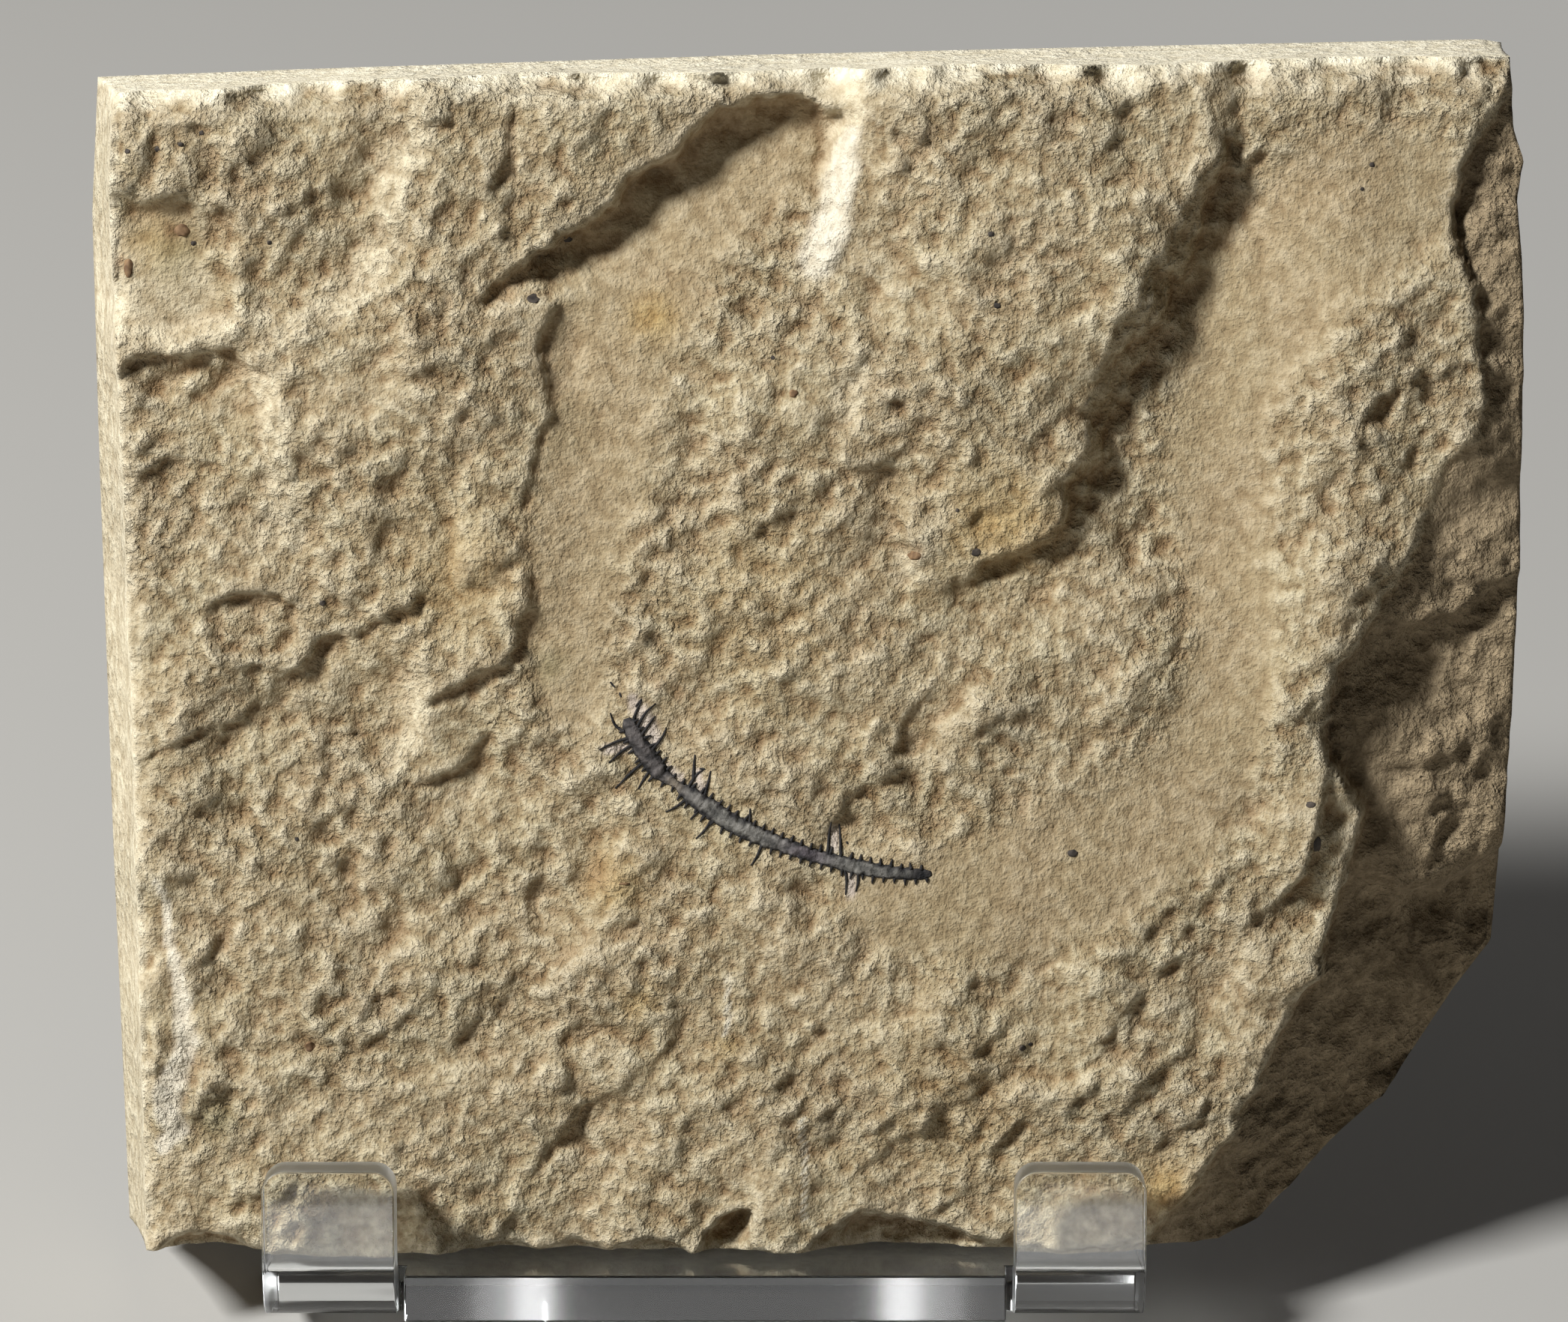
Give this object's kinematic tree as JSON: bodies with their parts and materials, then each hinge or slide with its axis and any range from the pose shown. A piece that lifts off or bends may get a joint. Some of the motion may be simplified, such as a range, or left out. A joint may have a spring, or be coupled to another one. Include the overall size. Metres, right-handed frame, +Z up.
{
  "type": "fossil worm in a limestone slab on a clear stand",
  "caption": "Bristle worm fossil in a rough split limestone slab with sawn edges and a broken corner, leaning on a clear bent-sheet stand with front lips and a rear leg.",
  "frame": {"origin": "on the table plane, at the centre of the whole object's footprint box", "axes": "+X to the right along the slab as its fossil face is seen, +Y backwards towards the rear leg, +Z up"},
  "size_m": [0.0913, 0.0544, 0.0789],
  "materials": {
    "limestone": "dry matt tan limestone, rough where split, finer and paler where sawn or bruised",
    "fossil": "dark grey mineral film with nearly black edges, faint sheen",
    "clear_acrylic": "clear polished acrylic sheet"
  },
  "bodies": {
    "root": {"limestone_slab": "limestone", "fossil_worm": "fossil", "acrylic_stand": "clear_acrylic"}
  },
  "joints": []
}
